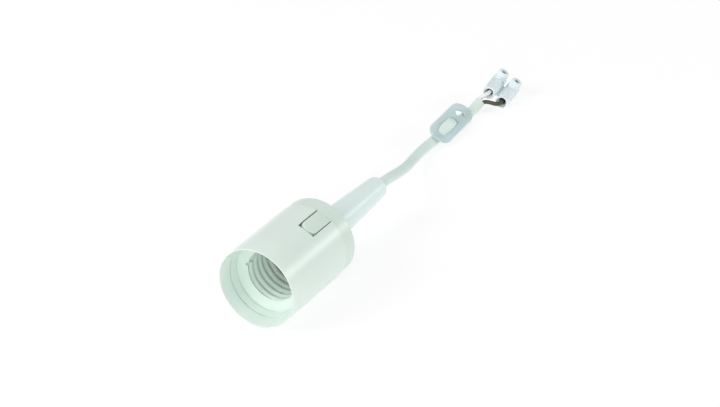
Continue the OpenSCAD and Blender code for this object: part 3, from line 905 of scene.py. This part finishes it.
# ---- Contacts and their carrier ----
def crimp_place(side):
    """Where a crimp starts, with local Y running back along it."""
    across, depth = CRIMP_AT
    return ROLLED @ Matrix.Translation((side * across, depth, 0))


def slotted_screw(name, node, places, radius, head_r, head_h, length):
    """Cheese-head screws along local Y: each head ends where its shank starts, at the place's origin."""
    pitch = .5
    head = [(0, -head_h, 0), (head_r, -head_h, .3), (head_r, 0, 0), (radius, 0, 0)]
    outline = [(p.x, p.y) for p in rounded(head, closed=False)]
    for k in range(int(length / pitch) - 2):
        outline += [(radius, pitch + pitch * k), (radius - .18, 1.5 * pitch + pitch * k)]
    outline += [(radius - .3, length), (0, length)]
    screws = None
    for where in places:
        screw = turned(name, outline, where)
        cut(screw, block("slot", (-head_r - 1, -head_h - 1, -.3), (head_r + 1, -head_h / 2, .3), where))
        screws = join(screws, screw) if screws else screw
    return done(screws, "lampholder", "screw_steel", node)


def make_carrier():
    carrier = turned("contact_floor", rounded([
        (0, CARRIER_FRONT, 0), (CARRIER_FACE_R, CARRIER_FRONT, .5), (CARRIER_FACE_R, CARRIER_STEP, .3),
        (CARRIER_R, CARRIER_STEP, .3), (CARRIER_R, CARRIER_REAR, .3), (0, CARRIER_REAR, 0),
    ]), LAMP, 128)
    holes = []
    for side in (-1, 1):
        holes.append(turned("chamber", [(0, 0), (1.5, 0), (1.5, 6), (0, 6)], crimp_place(side)))
        passage = LAMP @ Matrix.Translation((0, CARRIER_FRONT, side * CARRIER_SCREW_Z))
        holes.append(turned("passage", [(0, 0), (1.3, 0), (1.3, 9), (0, 9)], passage))
    holes.append(block("window", (-3.5, 33, 9.8), (3.5, 37.2, 17), at_turn(SIDE_TURN)))
    cut(carrier, *holes)
    return done(carrier, "lampholder", "carrier_plastic", "contact_carrier")


def strip(width, thick):
    """Section of a stamped strip with broken edges."""
    w, t, e = width / 2, thick / 2, .1
    lower = [(-w, -t + e), (-w + e, -t), (w - e, -t), (w, -t + e)]
    return lower + [(w, t - e), (w - e, t), (-w + e, t), (-w, t - e)]


def make_centre_spring():
    """Leaf that rises from its foot towards the lamp and turns back at its tip."""
    line = smooth_line([
        (-6.5, 33.75, 0), (-6.2, 33.3, 0), (-4.2, 31.7, 0), (-1.8, 30.2, 0), (.4, 29.85, 0), (2.4, 30.3, 0),
        (4.1, 31.3, 0),
    ], 6)
    centre = swept("centre_spring", line, strip(4.4, STRIP_T), Vector((0, 0, 1)), LAMP)
    done(centre, "centre_contact", "contact_brass", "centre_contact")


def make_side_spring():
    """Leaf that stands along the lamp's shell, leans in towards it and flares at its tip."""
    line = smooth_line([
        (0, 36.7, 13.38), (0, 36, 13.36), (0, 34, 13.35), (0, 32, 13.3), (0, 30.6, 12.95), (0, 29.4, 12.85),
        (0, 28.3, 13.1),
    ], 6)
    side = swept("side_spring", line, strip(4, STRIP_T), Vector((1, 0, 0)), at_turn(SIDE_TURN))
    done(side, "side_contact", "contact_brass", "side_contact")


def make_contact_feet():
    """Feet with their rivet holes, drawn as seen from the front."""
    hole_r = .82
    outline = rounded([(-9.4, -2.2, .4), (-6.7, -2.2, 0), (-6.7, 2.2, 0), (-9.4, 2.2, .4)])
    hole = arc_outline(-RIVET_X, 0, hole_r, 24)
    foot = flat_piece("centre_foot", [outline, hole], 33.6, 34, .08, LAMP @ UPRIGHT.inverted())
    done(foot, "lampholder", "contact_brass", "centre_contact_foot")
    outline = rounded([(-2, -13.4, 0), (2, -13.4, 0), (2, -10.2, .4), (-2, -10.2, .4)])
    hole = arc_outline(0, -SIDE_RIVET_Z, hole_r, 24)
    foot = flat_piece("side_foot", [outline, hole], 36.8, 37.2, .08, at_turn(SIDE_TURN) @ UPRIGHT.inverted())
    done(foot, "lampholder", "contact_brass", "side_contact_foot")


def make_rivets():
    head = rounded([(0, -.7, 0), (1.15, -.62, .12), (1.15, -.4, 0), (.8, -.4, 0), (.8, 2, 0), (0, 2, 0)])
    rivets = turned("rivets", head, LAMP @ Matrix.Translation((-RIVET_X, CARRIER_FRONT, 0)))
    side_place = at_turn(SIDE_TURN) @ Matrix.Translation((0, 37.2, SIDE_RIVET_Z))
    join(rivets, turned("rivet", head, side_place))
    done(rivets, "lampholder", "screw_steel", "contact_rivets")


def make_crimps():
    outline = rounded([(0, 0, 0), (1.45, 0, .2), (1.45, 4.2, .1), (.97, 4.2, .1), (.97, .8, 0), (0, .8, 0)])
    for side, name in ((1, "live"), (-1, "neutral")):
        sheath = turned(name + "_crimp", outline, crimp_place(side))
        done(sheath, "lampholder", "contact_brass", name + "_lamp_crimp")


def make_cord_grip():
    front, rear = GRIP_Y
    middle = (front + rear) / 2
    half, top, screw_x = 6.6, 3.3, 4.6
    outline = rounded([(-half, front, .5), (half, front, .5), (half, rear, .5), (-half, rear, .5)])
    holes = [arc_outline(side * screw_x, middle, .9, 24) for side in (-1, 1)]
    bar = flat_piece("grip_bar", [outline, *holes], CORD_T / 2, top, .2, ROLLED)
    done(bar, "lampholder", "carrier_plastic", "cord_grip_bar")
    places = []
    for side in (-1, 1):
        places.append(ROLLED @ Matrix.Translation((side * screw_x, middle, top)) @ UPRIGHT.inverted())
    slotted_screw("grip_screws", "cord_grip_screws", places, .8, 1.25, .8, 6.8)


make_carrier()
floor_places = [LAMP @ Matrix.Translation((0, CARRIER_STEP, side * CARRIER_SCREW_Z)) for side in (-1, 1)]
slotted_screw("floor_screws", "carrier_screws", floor_places, 1.2, 2, 1.2, 11)
make_centre_spring()
make_side_spring()
make_contact_feet()
make_rivets()
make_crimps()
make_cord_grip()


# ---- Stage ----
LIGHT_DISTANCE = 1.2
FLOOR_HALF = 3


def make_floor():
    corners = [(-1, -1), (1, -1), (1, 1), (-1, 1)]
    floor = build("floor", [(FLOOR_HALF * x, FLOOR_HALF * y, FLOOR) for x, y in corners], [(0, 1, 2, 3)])
    material, tree, shader = new_material("floor_paper")
    shader.inputs["Base Color"].default_value = (.3, .3, .3, 1)
    shader.inputs["Roughness"].default_value = .9
    shader.inputs["Specular IOR Level"].default_value = .1
    shader.inputs["Emission Color"].default_value = (1, 1, 1, 1)
    shader.inputs["Emission Strength"].default_value = .73
    floor.data.materials.append(material)


def make_light(name, direction, along, size, power, colour=(1, 1, 1)):
    """Soft box that shines at the object from a direction. along is the way that its second side lies."""
    light = bpy.data.lights.new(name, "AREA")
    light.shape = "RECTANGLE"
    light.size, light.size_y = size
    light.energy = power
    light.color = colour
    lamp = bpy.data.objects.new(name, light)
    back = Vector(direction).normalized()
    up = (Vector(along) - Vector(along).dot(back) * back).normalized()
    turn = Matrix((up.cross(back), up, back)).transposed().to_4x4()
    middle = Vector((0, .08, 0))
    lamp.matrix_world = Matrix.Translation(middle + back * LIGHT_DISTANCE) @ turn
    bpy.context.scene.collection.objects.link(lamp)


def make_studio():
    world = bpy.data.worlds.new("studio")
    world.use_nodes = True
    background = world.node_tree.nodes["Background"]
    background.inputs["Color"].default_value = (1, 1, 1, 1)
    background.inputs["Strength"].default_value = .51
    bpy.context.scene.world = world
    bpy.context.scene.view_settings.view_transform = "Standard"
    # The sleeve mirrors the strip as a soft band, which its long side sets along the sleeve
    make_light("strip_light", (.609, .738, .293), (.565, -.661, .491), (.2, .45), 2.9)
    make_light("mouth_light", (-.5, -.66, .56), (0, 0, 1), (.6, .6), 6, (1, .94, .98))
    make_light("fill_light", (.4, -.82, .41), (0, 0, 1), (.7, .7), 3.4)
    make_light("top_light", (-.25, .25, .93), (0, 1, 0), (.7, .7), 1)


make_floor()
make_studio()
